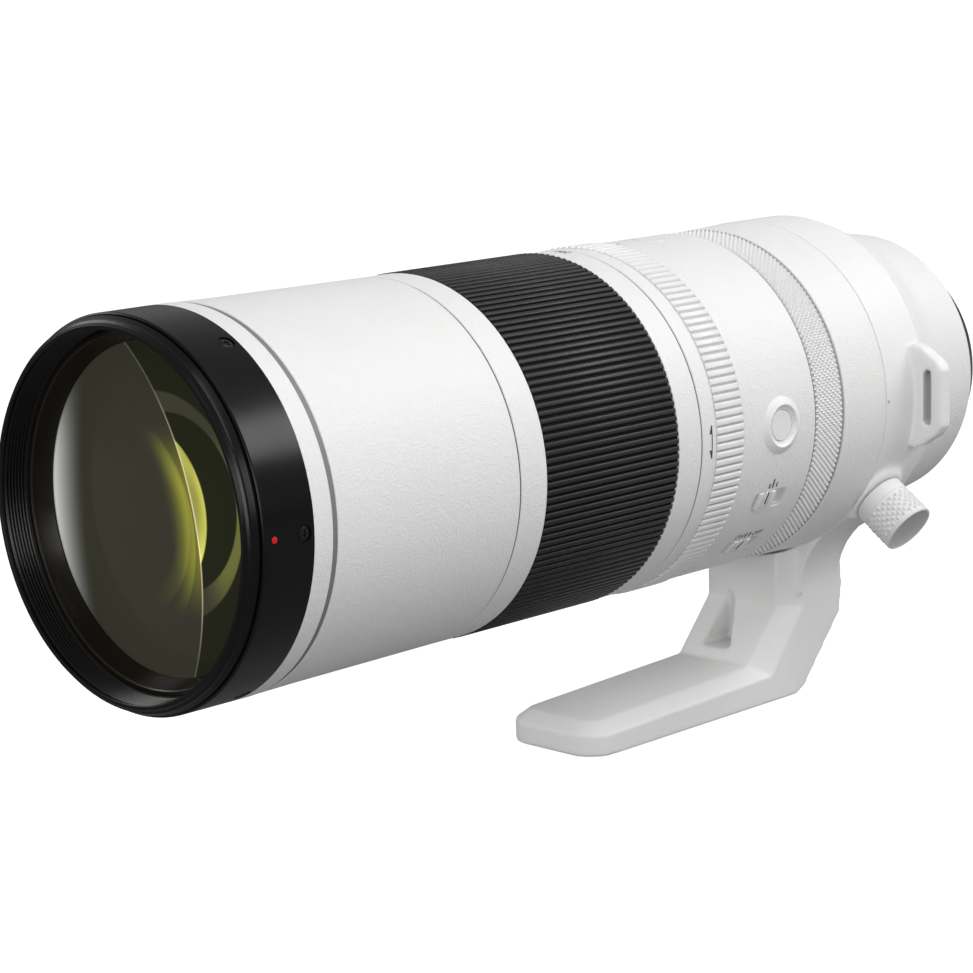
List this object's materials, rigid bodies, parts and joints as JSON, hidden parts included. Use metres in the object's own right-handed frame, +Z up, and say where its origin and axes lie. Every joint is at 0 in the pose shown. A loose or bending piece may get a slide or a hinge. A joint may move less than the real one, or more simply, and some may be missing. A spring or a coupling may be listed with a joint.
{
  "type": "super telephoto zoom lens",
  "caption": "White super telephoto zoom lens that slides out at the front, with turning rings, switches, and a rotating tripod collar with foot and lock knob.",
  "frame": {"origin": "centre of the mount's flange face, on the optical axis", "axes": "+Y along the optical axis out of the mount towards the camera, the front looks along -Y, +Z up, the foot hangs at -Z, +X is the side with the switches"},
  "size_m": [0.1216, 0.3245, 0.1457],
  "materials": {
    "white_paint": "fine textured off-white paint",
    "black_paint": "satin black",
    "black_plastic": "matte black",
    "grey_plastic": "fine dark grey",
    "grip_rubber": "ribbed dark grey rubber",
    "steel": "bright turned steel",
    "alloy": "satin anodised",
    "brass": "plated",
    "board": "green board",
    "glass": "coated optical glass"
  },
  "bodies": {
    "barrel": {"mount_flange": "steel", "mount_screws": "steel", "contact_block": "black_plastic", "contact_pins": "brass", "rear_ring": "black_paint", "rear_skirt": "white_paint", "bearing_sleeve": "alloy", "rear_barrel": "white_paint", "main_board": "board", "rear_cell": "black_paint", "rear_elements": "glass", "main_barrel": "alloy", "switch_barrel": "white_paint", "switch_plates": "grey_plastic", "guide_barrel": "alloy", "front_sleeve": "white_paint", "dust_seal": "grip_rubber", "iris_housing": "black_plastic", "stabiliser_base": "black_plastic", "guide_rods": "steel", "focus_motor": "grey_plastic"},
    "control": {"control_ring": "white_paint"},
    "tension": {"tension_ring": "white_paint"},
    "zoom": {"zoom_ring": "white_paint", "zoom_rubber": "grip_rubber", "cam_barrel": "alloy"},
    "front": {"extension_tube": "alloy", "front_band": "white_paint", "front_ring": "black_paint", "ring_screws": "black_paint", "front_retainer": "black_paint", "front_element": "glass", "front_cell": "black_paint", "front_doublet": "glass"},
    "variator": {"variator_cell": "black_paint", "variator_elements": "glass"},
    "iris_drive": {"iris_ring": "black_plastic"},
    "stabiliser_lift": {"stabiliser_frame": "black_plastic"},
    "stabiliser_shift": {"stabiliser_cell": "black_plastic", "stabiliser_element": "glass"},
    "focus": {"focus_cell": "black_plastic", "focus_element": "glass"},
    "side_key": {"side_button": "white_paint"},
    "top_key": {"top_button": "white_paint"},
    "focus_slider": {"focus_switch": "grey_plastic"},
    "stabiliser_slider": {"stabiliser_switch": "grey_plastic"},
    "collar": {"tripod_collar": "white_paint", "foot_plate": "alloy", "foot_screws": "steel", "thread_inserts": "steel"},
    "knob": {"lock_knob": "white_paint"},
    "blade_1": {"iris_blade_1": "black_plastic"},
    "blade_2": {"iris_blade_2": "black_plastic"},
    "blade_3": {"iris_blade_3": "black_plastic"},
    "blade_4": {"iris_blade_4": "black_plastic"},
    "blade_5": {"iris_blade_5": "black_plastic"},
    "blade_6": {"iris_blade_6": "black_plastic"},
    "blade_7": {"iris_blade_7": "black_plastic"},
    "blade_8": {"iris_blade_8": "black_plastic"},
    "blade_9": {"iris_blade_9": "black_plastic"}
  },
  "joints": [
    {"name": "zoom_turn", "type": "hinge", "parent": "barrel", "child": "zoom", "pos_m": [0, -0.19, 0], "axis": [0, 1, 0], "range_deg": [0, 130]},
    {"name": "front_slide", "type": "slide", "parent": "barrel", "child": "front", "axis": [0, -1, 0], "range_m": [0, 0.093]},
    {"name": "variator_slide", "type": "slide", "parent": "barrel", "child": "variator", "axis": [0, 1, 0], "range_m": [0, 0.028]},
    {"name": "tension_turn", "type": "hinge", "parent": "barrel", "child": "tension", "pos_m": [0, -0.1428, 0], "axis": [0, 1, 0], "range_deg": [0, 40]},
    {"name": "control_turn", "type": "hinge", "parent": "barrel", "child": "control", "pos_m": [0, -0.0942, 0], "axis": [0, 1, 0], "continuous": true},
    {"name": "collar_turn", "type": "hinge", "parent": "barrel", "child": "collar", "pos_m": [0, -0.0584, 0], "axis": [0, 1, 0], "continuous": true},
    {"name": "knob_turn", "type": "hinge", "parent": "collar", "child": "knob", "pos_m": [0.04854, -0.061, -0.03527], "axis": [0.809, 0, -0.5878], "range_deg": [0, 300]},
    {"name": "side_press", "type": "slide", "parent": "barrel", "child": "side_key", "axis": [-1, 0, 0], "range_m": [0, 0.0006], "stiffness_N_per_m": 800, "springref_m": -0.0003},
    {"name": "top_press", "type": "slide", "parent": "barrel", "child": "top_key", "axis": [-0.0349, 0, -0.9994], "range_m": [0, 0.0006], "stiffness_N_per_m": 800, "springref_m": -0.0003},
    {"name": "focus_slide", "type": "slide", "parent": "barrel", "child": "focus_slider", "axis": [0, 1, 0], "range_m": [0, 0.0032]},
    {"name": "stabiliser_slide", "type": "slide", "parent": "barrel", "child": "stabiliser_slider", "axis": [0, 1, 0], "range_m": [0, 0.0016]},
    {"name": "focus_travel", "type": "slide", "parent": "barrel", "child": "focus", "axis": [0, 1, 0], "range_m": [-0.01, 0.01]},
    {"name": "stabiliser_rise", "type": "slide", "parent": "barrel", "child": "stabiliser_lift", "axis": [0, 0, 1], "range_m": [-0.0008, 0.0008], "stiffness_N_per_m": 2000},
    {"name": "stabiliser_sway", "type": "slide", "parent": "stabiliser_lift", "child": "stabiliser_shift", "axis": [1, 0, 0], "range_m": [-0.0008, 0.0008], "stiffness_N_per_m": 2000},
    {"name": "iris_turn", "type": "hinge", "parent": "barrel", "child": "iris_drive", "pos_m": [0, -0.196, 0], "axis": [0, -1, 0], "range_deg": [0, 20]},
    {"name": "blade_turn_1", "type": "hinge", "parent": "barrel", "child": "blade_1", "pos_m": [0.01837, -0.199, 0.01541], "axis": [0, -1, 0], "range_deg": [0, 25]},
    {"name": "blade_turn_2", "type": "hinge", "parent": "barrel", "child": "blade_2", "pos_m": [0.00416, -0.199, 0.02362], "axis": [0, -1, 0], "range_deg": [0, 25]},
    {"name": "blade_turn_3", "type": "hinge", "parent": "barrel", "child": "blade_3", "pos_m": [-0.01199, -0.199, 0.02077], "axis": [0, -1, 0], "range_deg": [0, 25]},
    {"name": "blade_turn_4", "type": "hinge", "parent": "barrel", "child": "blade_4", "pos_m": [-0.02253, -0.199, 0.0082], "axis": [0, -1, 0], "range_deg": [0, 25]},
    {"name": "blade_turn_5", "type": "hinge", "parent": "barrel", "child": "blade_5", "pos_m": [-0.02253, -0.199, -0.0082], "axis": [0, -1, 0], "range_deg": [0, 25]},
    {"name": "blade_turn_6", "type": "hinge", "parent": "barrel", "child": "blade_6", "pos_m": [-0.01199, -0.199, -0.02077], "axis": [0, -1, 0], "range_deg": [0, 25]},
    {"name": "blade_turn_7", "type": "hinge", "parent": "barrel", "child": "blade_7", "pos_m": [0.00416, -0.199, -0.02362], "axis": [0, -1, 0], "range_deg": [0, 25]},
    {"name": "blade_turn_8", "type": "hinge", "parent": "barrel", "child": "blade_8", "pos_m": [0.01837, -0.199, -0.01541], "axis": [0, -1, 0], "range_deg": [0, 25]},
    {"name": "blade_turn_9", "type": "hinge", "parent": "barrel", "child": "blade_9", "pos_m": [0.02398, -0.199, 0], "axis": [0, -1, 0], "range_deg": [0, 25]}
  ],
  "couplings": [
    {"joint": "front_slide", "follows": "zoom_turn", "m_per_rad": 0.040988},
    {"joint": "variator_slide", "follows": "zoom_turn", "m_per_rad": 0.012341},
    {"joint": "blade_turn_1", "follows": "iris_turn", "ratio": 1.249},
    {"joint": "blade_turn_2", "follows": "iris_turn", "ratio": 1.249},
    {"joint": "blade_turn_3", "follows": "iris_turn", "ratio": 1.249},
    {"joint": "blade_turn_4", "follows": "iris_turn", "ratio": 1.249},
    {"joint": "blade_turn_5", "follows": "iris_turn", "ratio": 1.249},
    {"joint": "blade_turn_6", "follows": "iris_turn", "ratio": 1.249},
    {"joint": "blade_turn_7", "follows": "iris_turn", "ratio": 1.249},
    {"joint": "blade_turn_8", "follows": "iris_turn", "ratio": 1.249},
    {"joint": "blade_turn_9", "follows": "iris_turn", "ratio": 1.249}
  ]
}
